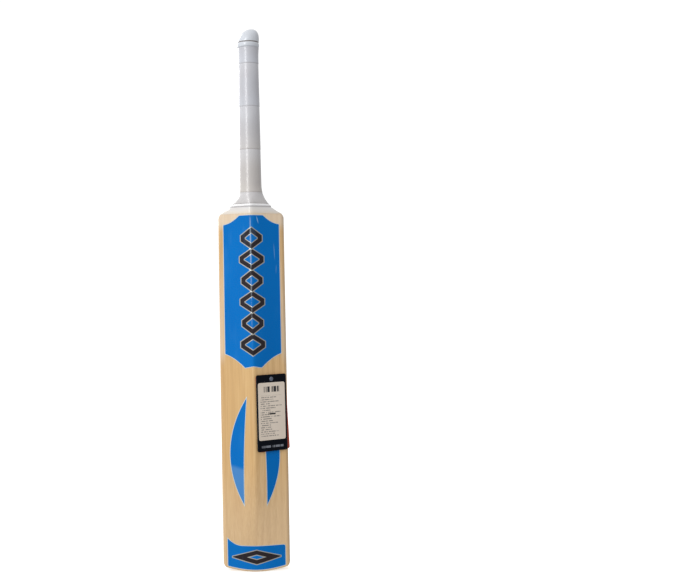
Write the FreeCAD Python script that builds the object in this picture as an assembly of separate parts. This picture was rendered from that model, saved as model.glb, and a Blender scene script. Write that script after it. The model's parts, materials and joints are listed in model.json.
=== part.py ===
import FreeCAD, Part
import math
import os

# A full-size, short-handle cricket bat: a willow blade with a spliced cane handle,
# rubber grip, printed stickers and a shop's swing tag. Millimetres.
# The bat stands on its toe with +Z up its length. The flat hitting face looks to +Y
# and the ridged back to -Y. Left and right are as seen from behind, right being +X.

# ---- driving sizes ----

# blade
blade_length = 564.0          # toe to the corner of the shoulders
toe_width = 106.0
shoulder_width = 104.6
toe_radius = 212.0            # curve of the toe, seen from the front
toe_corner_radius = 8.5
shoulder_corner_radius = 3.5
shoulder_slope = 30.0         # degrees, from level
neck_radius = 46.5            # hollow curve from the shoulder up into the handle
face_front = 29.0             # how far the hitting face stands from the origin
face_bow = 0.4                # degrees, the upper face leans forward
bow_start = 350.0             # height where the lean starts
edge_rounding = 4.0           # how much the back's long edges are eased
edge_rounding_width = 0.10    # share of the half width over which they are
hollow = 1.15                 # how hollow the back is between ridge and edge; 1 is straight

# (share of blade_length, depth at ridge, depth at edge, rounding of the ridge)
blade_profile = [
    (-0.03, 22.0, 16.0, 0.60),
    (0.05, 31.0, 21.0, 0.45),
    (0.11, 38.0, 24.0, 0.26),
    (0.18, 46.0, 26.5, 0.12),
    (0.28, 54.0, 28.0, 0.07),
    (0.41, 58.0, 28.5, 0.06),
    (0.58, 57.0, 27.5, 0.06),
    (0.76, 52.0, 24.0, 0.07),
    (0.91, 44.0, 19.0, 0.08),
    (1.00, 40.5, 16.5, 0.09),
]

# handle
handle_length = 296.0         # corner of the shoulders to the top of the end cap
handle_set_back = 2.7         # the handle's front behind the face at the shoulders
handle_radius_base = 17.75    # over the grip
handle_radius_top = 16.3
grip_wall = 1.8
twine_wall = 0.8
splice_depth = 129.0          # point of the V below the shoulders
cane_rows = 4
cane_columns = 3
spring_thickness = 1.6
strip_gap = 0.05              # glue line between cane strips

# grip end and cap
cap_height = 21.5
cap_radius = 17.0
cap_socket_depth = 8.0
ring_height = 8.0
ring_radius = 17.5
flare_height = 18.0           # the grip swells over this height below the ring
flare_radius = 17.2
flare_bow = 0.6               # how hollow the swell is
seam_gap = 0.2                # between cap, ring, grip and tape along the handle
fit_gap = 0.1                 # between a sleeve and what it is pulled over

# grip foot and shoulder tape
foot_ring_height = 4.6
foot_ring_wall = 2.2
foot_ring_rise = 13.4         # foot ring above the corner of the shoulders
tape_height = 11.0
tape_wall = 0.4

# stickers
sticker_thickness = 0.25
glue_gap = 0.05               # under every sticker
back_sticker_drop = 0.0       # top edge below the corner of the shoulders
back_sticker_length = 241.0
back_sticker_half_width = 45.0
back_sticker_top_half = 19.0
back_sticker_cut = 14.0       # depth of the hollow top corners
back_sticker_foot = 21.5      # depth of the hollow lower corners
back_sticker_tip = 13.4       # the two points stand this far from the ridge
back_sticker_notch = 2.6
back_sticker_scoop = 3.2      # how far its hollow top corners bow in
back_sticker_sweep = 3.4      # and its hollow lower corners

toe_sticker_half_width = 46.5
toe_sticker_top = 42.0
toe_sticker_peak = 54.5
toe_sticker_sweep = 23.0      # the hollow sweep from its left peak, measured along X
toe_sticker_bow = 3.0         # how far that sweep bows in
toe_sticker_margin = 2.4
toe_sticker_corner = 3.5

crescent_below_tip = 43.0     # under the back sticker's points
crescent_above_toe = 50.0     # over the toe sticker's peak
crescent_top_x = 10.8
crescent_inner_x = 16.4
crescent_outer_x = 39.6
crescent_foot_x = 17.2

face_sticker_drop = 1.0
face_sticker_length = 189.0
face_sticker_half_width = 45.5
face_sticker_top_half = 19.5
face_sticker_cut = 11.0
face_sticker_scoop = 3.0      # how far its hollow top corners bow in
strip_below_face_sticker = 1.5
strip_height = 13.5
strip_length = 56.0
strip_slant = 10.0
price_width = 35.0
price_height = 21.5
price_inset_x = 9.0
price_below_top = 6.0
price_thickness = 0.2

# swing tag, hung on a stud over the right of the ridge
tag_width = 55.0
tag_length = 120.0
back_card_width = 54.8
back_card_length = 118.8
tag_corner = 3.0
card_thickness = 0.6
card_gap = 0.3
hole_from_top = 7.0
back_hole_from_top = 6.0
hole_radius = 2.1
stud_radius = 1.8
stud_head_radius = 3.4
stud_head_height = 1.2
stud_foot_radius = 5.0
tag_below_tip = 17.3          # hole under the back sticker's points
tag_offset = 26.5             # hole to the right of the ridge
tag_slope = 30.5              # degrees, the lie of the blade's right flank
tag_turn = 0.5                # degrees, how far the front card has swung
back_card_turn = 2.5          # degrees further for the card behind it
label_width = 49.0
label_height = 90.0
label_corner = 3.0
label_below_hole = 5.5
label_thickness = 0.2

# ---- derived sizes ----

total_length = blade_length + handle_length
bow_slope = math.tan(math.radians(face_bow))
toe_half = toe_width / 2
shoulder_half = shoulder_width / 2
wood_neck_half = handle_radius_base - grip_wall
slope_angle = math.radians(shoulder_slope)
sweep_angle = math.pi / 2 - slope_angle
neck_end_x = wood_neck_half + neck_radius * (1 - math.cos(sweep_angle))
neck_rise = (shoulder_half - neck_end_x) * math.tan(slope_angle)
neck_top = blade_length + neck_rise + neck_radius * math.sin(sweep_angle)
face_at_shoulder = face_front + (blade_length - bow_start) * bow_slope
handle_y = face_at_shoulder - handle_set_back - handle_radius_base
cap_bottom = total_length - cap_height
ring_bottom = cap_bottom - seam_gap - ring_height
flare_bottom = ring_bottom - seam_gap - flare_height
foot_ring_bottom = blade_length + foot_ring_rise
foot_ring_top = foot_ring_bottom + foot_ring_height
grip_bottom = foot_ring_top + seam_gap
tape_bottom = foot_ring_bottom - seam_gap - tape_height
splice_point = blade_length - splice_depth
core_taper = (handle_radius_top - handle_radius_base) / (flare_bottom - neck_top)


def vector(x, y, z):
    return FreeCAD.Vector(x, y, z)


def grip_radius_at(height):
    """Outside of the grip on its straight, slightly tapered length."""
    return handle_radius_base + core_taper * (height - neck_top)


def core_radius_at(height):
    """Outside of the cane core, under the twine and the grip."""
    return grip_radius_at(height) - grip_wall - twine_wall - 2 * fit_gap


# ---- outlines drawn in the XZ plane, and round pieces about the handle's axis ----

def line(a, b):
    return Part.LineSegment(vector(a[0], 0, a[1]), vector(b[0], 0, b[1])).toShape()


def arc(a, middle, b):
    return Part.Arc(vector(a[0], 0, a[1]), vector(middle[0], 0, middle[1]),
                    vector(b[0], 0, b[1])).toShape()


def bowed(a, b, sagitta):
    """An arc from a to b whose middle stands off the chord, to the left of its run."""
    dx = b[0] - a[0]
    dz = b[1] - a[1]
    span = math.hypot(dx, dz)
    middle = ((a[0] + b[0]) / 2 - dz / span * sagitta,
              (a[1] + b[1]) / 2 + dx / span * sagitta)
    return arc(a, middle, b)


def polygon(corners):
    """Straight edges round a list of corners, closed."""
    return [line(a, b) for a, b in zip(corners, corners[1:] + corners[:1])]


def prism(edges, low, high):
    """The solid between y = low and y = high over an outline of edges."""
    face = Part.Face(Part.Wire(edges))
    face.translate(vector(0, low, 0))
    return face.extrude(vector(0, high - low, 0))


def turned(corners):
    """A solid of revolution about the handle's axis from (radius, height) corners.

    A corner with a third value is reached by an arc with that sagitta, left of the run."""
    edges = []
    for a, b in zip(corners, corners[1:] + corners[:1]):
        edges.append(bowed(a, b, b[2]) if len(b) > 2 else line(a, b))
    face = Part.Face(Part.Wire(edges))
    solid = face.revolve(vector(0, 0, 0), vector(0, 0, 1), 360)
    solid.translate(vector(0, handle_y, 0))
    return solid


# ---- the wood blank ----

def profile_at(height):
    """Ridge depth, edge depth and ridge rounding, on a smooth curve through blade_profile."""
    rows = blade_profile
    share = min(max(height / blade_length, rows[1][0]), rows[-2][0])
    k = 1
    while k < len(rows) - 3 and rows[k + 1][0] < share:
        k += 1
    before, start, end, after = rows[k - 1:k + 3]
    span = end[0] - start[0]
    t = (share - start[0]) / span
    values = []
    for i in (1, 2, 3):
        leave = (end[i] - before[i]) / (end[0] - before[0]) * span
        arrive = (after[i] - start[i]) / (after[0] - start[0]) * span
        values.append((2 * t ** 3 - 3 * t ** 2 + 1) * start[i]
                      + (t ** 3 - 2 * t ** 2 + t) * leave
                      + (3 * t ** 2 - 2 * t ** 3) * end[i] + (t ** 3 - t ** 2) * arrive)
    return values


def half_width_at(height):
    share = min(max(height / blade_length, 0.0), 1.0)
    return toe_half + (shoulder_half - toe_half) * share


def face_at(height):
    """Where the hitting face lies in Y: flat, then leaning forward above bow_start."""
    return face_front + max(height - bow_start, 0.0) * bow_slope


def back_at(x, height):
    """Where the back lies in Y: a rounded ridge, slightly hollow flanks, eased edges."""
    ridge, edge, rounding = profile_at(height)
    u = abs(x) / half_width_at(height)
    soft = math.sqrt(1 + rounding ** 2)
    fall = (soft - math.sqrt(u * u + rounding ** 2)) / (soft - rounding)
    depth = edge + (ridge - edge) * max(fall, 0.0) ** hollow
    ease = max(u - 1 + edge_rounding_width, 0.0) / edge_rounding_width
    return face_at(height) - depth + edge_rounding * ease ** 2


def back_sheet():
    """The back as one smooth face, drawn past the blade's edges and both ends."""
    columns = (0.0, 0.045, 0.1, 0.2, 0.36, 0.55, 0.74, 0.86, 0.91, 0.95, 1.0, 1.05)
    columns = [-u for u in reversed(columns[1:])] + list(columns)
    row_count = 20
    below_toe = 0.04
    rows = [(k / row_count * (1 + below_toe) - below_toe) * blade_length
            for k in range(row_count + 1)]
    rows += [blade_length + (neck_top - blade_length) * k for k in (0.5, 1.2)]
    grid = []
    for height in rows:
        reach = half_width_at(height)
        grid.append([vector(u * reach, back_at(u * reach, height), height) for u in columns])
    surface = Part.BSplineSurface()
    surface.interpolate(grid)
    return surface.toShape()


def slab(back, grow):
    """All that lies between the face and the back, both moved outwards by grow."""
    behind = back.copy()
    behind.translate(vector(0, -grow, 0))
    thick = behind.extrude(vector(0, 4 * toe_width, 0))
    top = neck_top + neck_radius
    side = [(-toe_width, -toe_width), (face_at(0) + grow, -toe_width),
            (face_at(0) + grow, bow_start), (face_at(top) + grow, top), (-toe_width, top)]
    wall = Part.makePolygon([vector(-toe_width, y, z) for y, z in side + side[:1]])
    room = Part.Face(wall).extrude(vector(2 * toe_width, 0, 0))
    return thick.common(room)


def shoulders(grow):
    """A turned solid whose cone and hollow curve shape the shoulders into the neck."""
    end_z = neck_top - neck_radius * math.sin(sweep_angle)
    wide = 2 * toe_width
    out = grow * math.sin(slope_angle)
    up = grow * math.cos(slope_angle)
    low_z = end_z - (wide - neck_end_x) * math.tan(slope_angle)
    sagitta = (neck_radius - grow) * (1 - math.cos(sweep_angle / 2))
    return turned([(0.0, -toe_width), (wide + out, -toe_width), (wide + out, low_z + up),
                   (neck_end_x + out, end_z + up),
                   (wood_neck_half + grow, neck_top, sagitta), (0.0, neck_top)])


def blade_outline():
    """Toe arc, rounded toe corners, straight sides and the round of each shoulder."""
    corner_x = shoulder_half - shoulder_corner_radius
    end_z = neck_top - neck_radius * math.sin(sweep_angle)
    corner_z = end_z + ((neck_end_x - corner_x) * math.sin(slope_angle)
                        - shoulder_corner_radius) / math.cos(slope_angle)
    side_turn = (math.pi / 2 - slope_angle) * 5 / 6
    half_turn = side_turn / 2
    toe_x = toe_half - toe_corner_radius
    toe_z = toe_radius - math.sqrt((toe_radius - toe_corner_radius) ** 2 - toe_x ** 2)
    lean = math.atan2(toe_x, toe_radius - toe_z)
    foot = (toe_radius * math.sin(lean), toe_radius * (1 - math.cos(lean)))
    round_turn = (math.pi / 2 - lean) / 2
    corner_middle = (toe_x + toe_corner_radius * math.cos(round_turn),
                     toe_z - toe_corner_radius * math.sin(round_turn))
    round_end = (corner_x + shoulder_corner_radius * math.cos(side_turn),
                 corner_z + shoulder_corner_radius * math.sin(side_turn))
    round_middle = (corner_x + shoulder_corner_radius * math.cos(half_turn),
                    corner_z + shoulder_corner_radius * math.sin(half_turn))

    def left(point):
        return (-point[0], point[1])

    top = neck_top + neck_radius
    right = [arc(foot, corner_middle, (toe_half, toe_z)),
             line((toe_half, toe_z), (shoulder_half, corner_z)),
             arc((shoulder_half, corner_z), round_middle, round_end),
             line(round_end, (round_end[0], top))]
    mirrored = [line((-round_end[0], top), left(round_end)),
                arc(left(round_end), left(round_middle), (-shoulder_half, corner_z)),
                line((-shoulder_half, corner_z), (-toe_half, toe_z)),
                arc((-toe_half, toe_z), left(corner_middle), left(foot))]
    return ([arc(left(foot), (0.0, 0.0), foot)] + right
            + [line((round_end[0], top), (-round_end[0], top))] + mirrored)


# ---- stickers and tape: thin skins on the blank ----

def skin(sheet, edges, thickness):
    """A sticker of the given outline on the back."""
    layer = sheet.extrude(vector(0, -thickness, 0))
    layer.translate(vector(0, -glue_gap, 0))
    return layer.common(prism(edges, -toe_width, toe_width))


def face_plate(edges, thickness):
    """A sticker of the given outline on the leaning upper part of the face."""
    top = neck_top
    near = face_front + glue_gap
    lean = face_at(top) - face_front
    side = [(near, bow_start), (near + thickness, bow_start),
            (near + thickness + lean, top), (near + lean, top)]
    wall = Part.makePolygon([vector(-toe_width, y, z) for y, z in side + side[:1]])
    layer = Part.Face(wall).extrude(vector(2 * toe_width, 0, 0))
    return layer.common(prism(edges, 0.0, toe_width))


def back_sticker_outline():
    top = blade_length - back_sticker_drop
    shoulder = top - back_sticker_cut
    tip = top - back_sticker_length
    foot = tip + back_sticker_foot
    half = back_sticker_half_width
    upper = back_sticker_top_half
    point = back_sticker_tip
    return [line((-upper, top), (upper, top)),
            bowed((upper, top), (half, shoulder), -back_sticker_scoop),
            line((half, shoulder), (half, foot)),
            bowed((half, foot), (point, tip), -back_sticker_sweep),
            bowed((point, tip), (-point, tip), -back_sticker_notch),
            bowed((-point, tip), (-half, foot), -back_sticker_sweep),
            line((-half, foot), (-half, shoulder)),
            bowed((-half, shoulder), (-upper, top), -back_sticker_scoop)]


def crescent_outline(side):
    """A pointed leaf: a nearly straight inner edge and a bowed outer one."""
    top = (side * crescent_top_x, back_sticker_tip_z - crescent_below_tip)
    foot = (side * crescent_foot_x, toe_sticker_peak + crescent_above_toe)
    middle_z = (top[1] + foot[1]) / 2
    inner = (side * crescent_inner_x, middle_z)
    outer = (side * crescent_outer_x, middle_z)
    return [arc(top, outer, foot), arc(foot, inner, top)]


def toe_sticker_outline():
    """Along the toe: its left side sweeps up to a peak, its right corner is round."""
    half = toe_sticker_half_width
    top = toe_sticker_top
    corner = toe_sticker_corner
    low_radius = toe_radius - toe_sticker_margin
    low_corner = toe_corner_radius - toe_sticker_margin
    lean = math.asin((half - low_corner) / (low_radius - low_corner))
    foot = (low_radius * math.sin(lean), toe_radius - low_radius * math.cos(lean))
    centre = (half - low_corner, toe_radius - (low_radius - low_corner) * math.cos(lean))
    turn = (math.pi / 2 - lean) / 2
    middle = (centre[0] + low_corner * math.cos(turn), centre[1] - low_corner * math.sin(turn))
    sweep_end = (-half + toe_sticker_sweep, top)
    round_middle = corner * math.sqrt(0.5)
    return [arc((-foot[0], foot[1]), (0.0, toe_sticker_margin), foot),
            arc(foot, middle, (half, centre[1])),
            line((half, centre[1]), (half, top - corner)),
            arc((half, top - corner),
                (half - corner + round_middle, top - corner + round_middle),
                (half - corner, top)),
            line((half - corner, top), sweep_end),
            bowed(sweep_end, (-half, toe_sticker_peak), toe_sticker_bow),
            line((-half, toe_sticker_peak), (-half, centre[1])),
            arc((-half, centre[1]), (-middle[0], middle[1]), (-foot[0], foot[1]))]


def face_sticker_outline():
    half = face_sticker_half_width
    upper = face_sticker_top_half
    top = face_sticker_top
    shoulder = top - face_sticker_cut
    low = top - face_sticker_length
    return [line((-upper, top), (upper, top)),
            bowed((upper, top), (half, shoulder), -face_sticker_scoop),
            line((half, shoulder), (half, low)),
            line((half, low), (-half, low)),
            line((-half, low), (-half, shoulder)),
            bowed((-half, shoulder), (-upper, top), -face_sticker_scoop)]


back_sticker_tip_z = blade_length - back_sticker_drop - back_sticker_length
face_sticker_top = blade_length - face_sticker_drop
strip_top = face_sticker_top - face_sticker_length - strip_below_face_sticker


def strip_outline():
    """A narrow label under the face sticker, cut on a slant at its inner end."""
    edge = face_sticker_half_width
    inner = edge - strip_length
    low = strip_top - strip_height
    return polygon([(edge, strip_top), (edge, low), (inner + strip_slant, low),
                    (inner, strip_top)])


def price_outline():
    low = face_sticker_top - price_below_top - price_height
    return polygon([(price_inset_x, low), (price_inset_x + price_width, low),
                    (price_inset_x + price_width, low + price_height),
                    (price_inset_x, low + price_height)])


# ---- the swing tag, drawn flat about its hole and then laid on the flank ----

def rounded_card(width, length, above, corner, thickness, level):
    """A card in the XZ plane whose hole is at the origin; level is its near face."""
    right = width / 2
    top = above
    low = above - length
    bend = corner * (1 - math.sqrt(0.5))
    edges = [line((-right + corner, low), (right - corner, low)),
             arc((right - corner, low), (right - bend, low + bend), (right, low + corner)),
             line((right, low + corner), (right, top - corner)),
             arc((right, top - corner), (right - bend, top - bend), (right - corner, top)),
             line((right - corner, top), (-right + corner, top)),
             arc((-right + corner, top), (-right + bend, top - bend), (-right, top - corner)),
             line((-right, top - corner), (-right, low + corner)),
             arc((-right, low + corner), (-right + bend, low + bend), (-right + corner, low))]
    return prism(edges, -level - thickness, -level)


def stud(radius, low, high):
    """A round about the tag's pivot, from low to high above the cards' bed."""
    return Part.makeCylinder(radius, high - low, vector(0, -low, 0), vector(0, -1, 0))


def lay(shape, turn):
    """Swing a flat piece about the stud, then lay it on the blade's right flank."""
    placed = shape.copy()
    placed.rotate(vector(0, 0, 0), vector(0, 1, 0), -turn)
    placed.rotate(vector(0, 0, 0), vector(0, 0, 1), tag_slope)
    placed.translate(tag_pivot)
    return placed


tag_height = back_sticker_tip_z - tag_below_tip
slope = math.radians(tag_slope)
outward = vector(math.sin(slope), -math.cos(slope), 0)
along_slope = vector(math.cos(slope), math.sin(slope), 0)


def highest_under_tag():
    """How far the blade's back reaches along outward beneath the swinging cards."""
    reach = []
    steps = 60
    for k in range(steps + 1):
        height = tag_height - tag_length + k * 2 * tag_length / steps
        half = half_width_at(height)
        for j in range(-steps, steps + 1):
            x = j / steps * half
            reach.append(outward.dot(vector(x, back_at(x, height), 0)))
    return max(reach)


bed = highest_under_tag() + glue_gap + sticker_thickness + card_gap
tag_pivot = (outward * bed + along_slope * (tag_offset / math.cos(slope) - bed * math.tan(slope))
             + vector(0, 0, tag_height))
back_card_level = 0.0
front_card_level = card_thickness + card_gap
head_level = front_card_level + card_thickness + card_gap


# ---- the pieces ----

def handle_solid(inner, outer):
    """A sleeve between two runs of (radius, height) about the handle's axis."""
    return turned(outer + list(reversed(inner)))


sheet = back_sheet()
blank = prism(blade_outline(), -toe_width, toe_width).common(slab(sheet, 0.0))
blank = blank.common(shoulders(0.0))

core_bottom_radius = core_radius_at(neck_top)
core_top = cap_bottom + cap_socket_depth - seam_gap
core_top_radius = core_radius_at(flare_bottom)
splice_half = core_bottom_radius
splice_top = neck_top + neck_radius
splice_edges = polygon([(0.0, splice_point), (splice_half, neck_top),
                        (splice_half, splice_top), (-splice_half, splice_top),
                        (-splice_half, neck_top)])
pieces = {}
pieces["blade"] = blank.cut(prism(splice_edges, -toe_width, toe_width))

core = turned([(0.0, neck_top), (core_bottom_radius, neck_top),
               (core_top_radius, flare_bottom), (core_top_radius, core_top), (0.0, core_top)])
cane = blank.common(prism(splice_edges, -toe_width, toe_width)).fuse(core)

row_pitch = (2 * core_bottom_radius + spring_thickness) / cane_rows
column_width = 2 * core_bottom_radius / cane_columns


def cane_part(left, right, low, high):
    room = Part.makeBox(right - left, high - low, total_length,
                        vector(left, low, splice_point - strip_gap))
    return cane.common(room)


for row in range(cane_rows):
    low = handle_y - core_bottom_radius + row * row_pitch
    high = low + row_pitch - spring_thickness
    if row < cane_rows - 1:
        spring = cane_part(-toe_width, toe_width, high, high + spring_thickness)
        pieces[f"rubber_spring_{row + 1}"] = spring
    if row == 0:
        low = -toe_width
    if row == cane_rows - 1:
        high = toe_width
    for column in range(cane_columns):
        left = -core_bottom_radius + column * column_width + strip_gap / 2
        right = left + column_width - strip_gap
        strip = cane_part(left, right, low + strip_gap, high - strip_gap)
        pieces[f"cane_strip_{row + 1}_{column + 1}"] = strip


twine_low = neck_top + seam_gap
twine_high = cap_bottom - seam_gap


def twine_side(stand_off):
    return [(core_radius_at(twine_low) + stand_off, twine_low),
            (core_top_radius + stand_off, flare_bottom),
            (core_top_radius + stand_off, twine_high)]


pieces["twine_binding"] = handle_solid(twine_side(fit_gap), twine_side(fit_gap + twine_wall))

sleeve_inner = core_top_radius + twine_wall + 2 * fit_gap
grip_top = ring_bottom - seam_gap
outer_low = shoulders(grip_wall)
outer_high = turned([(0.0, neck_top), (handle_radius_base, neck_top),
                     (grip_radius_at(flare_bottom), flare_bottom),
                     (flare_radius, grip_top, -flare_bow), (0.0, grip_top)])
bore_high = turned([(0.0, neck_top), (wood_neck_half, neck_top), (sleeve_inner, flare_bottom),
                    (sleeve_inner, grip_top + 1), (0.0, grip_top + 1)])


def wrap(grow, low, high):
    """What lies round the shoulders between two heights, standing grow off the wood."""
    band = Part.makeBox(4 * toe_width, 4 * toe_width, high - low,
                        vector(-2 * toe_width, -2 * toe_width, low))
    return slab(sheet, grow).common(band).common(shoulders(grow))


grip = wrap(grip_wall, grip_bottom, neck_top).fuse(outer_high)
pieces["handle_grip"] = grip.cut(blank).cut(bore_high)
pieces["grip_bottom_ring"] = wrap(foot_ring_wall, foot_ring_bottom, foot_ring_top).cut(blank)
pieces["shoulder_tape"] = wrap(tape_wall, tape_bottom, tape_bottom + tape_height).cut(blank)

bead = ring_radius - flare_radius
pieces["grip_top_ring"] = handle_solid(
    [(sleeve_inner, ring_bottom), (sleeve_inner, ring_bottom + ring_height)],
    [(flare_radius, ring_bottom), (ring_radius, ring_bottom + bead),
     (ring_radius, ring_bottom + ring_height - bead),
     (flare_radius, ring_bottom + ring_height)])


def end_cap():
    """A half-ellipsoid dome with a blind socket for the end of the cane."""
    ball = Part.makeSphere(cap_radius)
    stretch = FreeCAD.Matrix()
    stretch.scale(1, 1, cap_height / cap_radius)
    dome = ball.transformGeometry(stretch)
    dome.translate(vector(0, handle_y, cap_bottom))
    upper = Part.makeBox(4 * cap_radius, 4 * cap_radius, cap_height + 1,
                         vector(-2 * cap_radius, handle_y - 2 * cap_radius, cap_bottom))
    socket = Part.makeCylinder(core_top_radius + fit_gap, cap_socket_depth,
                               vector(0, handle_y, cap_bottom))
    return dome.common(upper).cut(socket)


pieces["handle_end_cap"] = end_cap()

pieces["back_sticker"] = skin(sheet, back_sticker_outline(), sticker_thickness)
pieces["crescent_sticker_left"] = skin(sheet, crescent_outline(-1), sticker_thickness)
pieces["crescent_sticker_right"] = skin(sheet, crescent_outline(1), sticker_thickness)
pieces["toe_sticker"] = skin(sheet, toe_sticker_outline(), sticker_thickness)
pieces["face_sticker"] = face_plate(face_sticker_outline(), sticker_thickness)
pieces["strip_label"] = face_plate(strip_outline(), sticker_thickness)
price = face_plate(price_outline(), price_thickness)
price.translate(vector(0, sticker_thickness + glue_gap, 0))
pieces["price_label"] = price

hole = stud(hole_radius, -card_gap, head_level)
back_card = rounded_card(back_card_width, back_card_length, back_hole_from_top, tag_corner,
                         card_thickness, back_card_level)
front_card = rounded_card(tag_width, tag_length, hole_from_top, tag_corner, card_thickness,
                          front_card_level)
label = rounded_card(label_width, label_height, -label_below_hole, label_corner,
                     label_thickness, front_card_level + card_thickness)
pieces["tag_back_card"] = lay(back_card.cut(hole), tag_turn + back_card_turn)
pieces["tag_front_card"] = lay(front_card.cut(hole), tag_turn)
pieces["tag_label"] = lay(label, tag_turn)
foot = stud(stud_foot_radius, -2 * stud_foot_radius, -card_gap)
stem = stud(stud_radius, -2 * stud_foot_radius, head_level)
head = stud(stud_head_radius, head_level, head_level + stud_head_height)
pieces["tag_stud"] = lay(foot.fuse(stem).fuse(head), 0.0).cut(blank)

os.makedirs("parts", exist_ok=True)
for name, piece in pieces.items():
    piece.exportStep(f"parts/{name}.step")
    solids = len(piece.Solids)
    print(f"{name}: {solids} solid, {piece.Volume:.0f} mm3")
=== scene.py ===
import json
import bpy
import numpy as np
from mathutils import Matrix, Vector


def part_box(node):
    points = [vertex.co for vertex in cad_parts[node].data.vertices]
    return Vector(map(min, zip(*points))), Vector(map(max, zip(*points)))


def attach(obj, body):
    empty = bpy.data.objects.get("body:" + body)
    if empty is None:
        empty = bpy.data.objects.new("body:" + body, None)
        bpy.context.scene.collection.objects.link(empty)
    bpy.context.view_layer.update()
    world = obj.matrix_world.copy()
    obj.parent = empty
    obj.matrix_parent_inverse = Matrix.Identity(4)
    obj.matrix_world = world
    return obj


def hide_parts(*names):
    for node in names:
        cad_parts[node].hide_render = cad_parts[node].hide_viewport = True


# A full-size, short-handle cricket bat, seen square on from behind, standing on its toe.
# The frame is in metres, and every shape below is worked out in millimetres.
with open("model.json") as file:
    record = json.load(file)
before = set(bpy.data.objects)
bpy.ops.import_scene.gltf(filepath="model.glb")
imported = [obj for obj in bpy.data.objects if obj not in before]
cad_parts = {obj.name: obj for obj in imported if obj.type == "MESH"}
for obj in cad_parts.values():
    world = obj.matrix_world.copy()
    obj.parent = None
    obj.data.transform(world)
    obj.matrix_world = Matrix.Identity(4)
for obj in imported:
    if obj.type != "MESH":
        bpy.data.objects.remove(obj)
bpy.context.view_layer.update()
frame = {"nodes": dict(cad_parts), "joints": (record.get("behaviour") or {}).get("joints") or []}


# ---- camera ----
# It looks level at the ridged back from 1.8 m away, at about half the bat's height. It is
# rolled by a degree, and has the bat left of the middle of its picture.
camera_distance = 1.8
eye_height = 0.44
camera_turn = 1.0
camera = bpy.data.objects.new("camera", bpy.data.cameras.new("camera"))
bpy.context.scene.collection.objects.link(camera)
camera.location = (0.0, -camera_distance, eye_height)
camera.rotation_euler = (np.pi / 2, np.radians(camera_turn), 0.0)
camera.data.lens = 58.5
camera.data.shift_x = 0.1397
bpy.context.scene.camera = camera


# ---- blade ----
# One cleft of willow, sawn and planed: a flat hitting face that leans forward a little at the
# top, a ridged back, a rounded toe, and shoulders turned into the neck. A V is sawn out of its
# top for the handle's splice, which is glued in.
MM = 0.001
blade_length = 564.0
toe_radius = 212.0
toe_corner_radius = 8.5
shoulder_corner_radius = 3.5
shoulder_slope = np.radians(30.0)
shoulder_half = 52.3
neck_radius = 46.5
face_front = 29.0
face_bow = np.radians(0.4)
bow_start = 350.0
edge_rounding = 4.0
edge_rounding_width = 0.10
hollow = 1.15
wood_edge_radius = 1.8
handle_radius_base = 17.75
handle_radius_top = 16.3
grip_wall = 1.8
splice_point = 435.0
splice_half = 14.95
# share of the blade's length, depth at the ridge, depth at the edge, rounding of the ridge
blade_profile = np.array([
    (-0.03, 22.0, 16.0, 0.60),
    (0.05, 31.0, 21.0, 0.45),
    (0.11, 38.0, 24.0, 0.26),
    (0.18, 46.0, 26.5, 0.12),
    (0.28, 54.0, 28.0, 0.07),
    (0.41, 58.0, 28.5, 0.06),
    (0.58, 57.0, 27.5, 0.06),
    (0.76, 52.0, 24.0, 0.07),
    (0.91, 44.0, 19.0, 0.08),
    (1.00, 40.5, 16.5, 0.09),
])


def span(node):
    """Lowest and highest corner of a CAD node, in millimetres."""
    return [np.array(corner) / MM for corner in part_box(node)]


def z_span(node):
    """Lowest and highest z of a CAD node, in millimetres."""
    return [corner[2] for corner in span(node)]


toe_half = span("blade")[1][0]
neck_top = span("blade")[1][2]
grip_low, grip_high = span("handle_grip")
handle_y = sum(corner[1] for corner in span("handle_end_cap")) / 2
wood_neck_half = handle_radius_base - grip_wall
neck_end_x = wood_neck_half + neck_radius * (1 - np.sin(shoulder_slope))
slope_end = neck_top - neck_radius * np.cos(shoulder_slope)
flare_height = 18.0
flare_bottom = grip_high[2] - flare_height
handle_taper = (handle_radius_top - handle_radius_base) / (flare_bottom - neck_top)


def depths(z):
    """Ridge depth, edge depth and ridge rounding: a cubic through blade_profile's rows, whose
    slope at each row is that of the line between the rows on either side of it."""
    shares = blade_profile[:, 0]
    share = np.clip(z / blade_length, shares[1], shares[-2])
    k = np.clip(np.searchsorted(shares, share) - 1, 1, len(shares) - 3)
    before, start, end, after = (blade_profile[k + step] for step in (-1, 0, 1, 2))
    width = end[..., :1] - start[..., :1]
    t = (share[..., None] - start[..., :1]) / width
    leave = (end - before) / (end - before)[..., :1] * width
    arrive = (after - start) / (after - start)[..., :1] * width
    values = ((2 * t ** 3 - 3 * t ** 2 + 1) * start + (t ** 3 - 2 * t ** 2 + t) * leave
              + (3 * t ** 2 - 2 * t ** 3) * end + (t ** 3 - t ** 2) * arrive)
    return values[..., 1], values[..., 2], values[..., 3]


def half_width(z):
    """Half the blade's width: a straight taper from the toe to the shoulders."""
    return toe_half + (shoulder_half - toe_half) * np.clip(z / blade_length, 0, 1)


def face(z):
    """Where the hitting face lies in y: flat, then leaning forward above bow_start."""
    return face_front + np.maximum(z - bow_start, 0) * np.tan(face_bow)


def back(x, z):
    """Where the back lies in y: depth falls from ridge to edge along a hyperbola raised to a
    power a little over one, and a parabola eases the outermost tenth of the width."""
    ridge, edge, rounding = depths(z)
    u = np.abs(x) / half_width(z)
    soft = np.sqrt(1 + rounding ** 2)
    fall = (soft - np.sqrt(u * u + rounding ** 2)) / (soft - rounding)
    ease = np.maximum(u - 1 + edge_rounding_width, 0) / edge_rounding_width
    return (face(z) - edge - (ridge - edge) * np.maximum(fall, 0) ** hollow
            + edge_rounding * ease ** 2)


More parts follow.
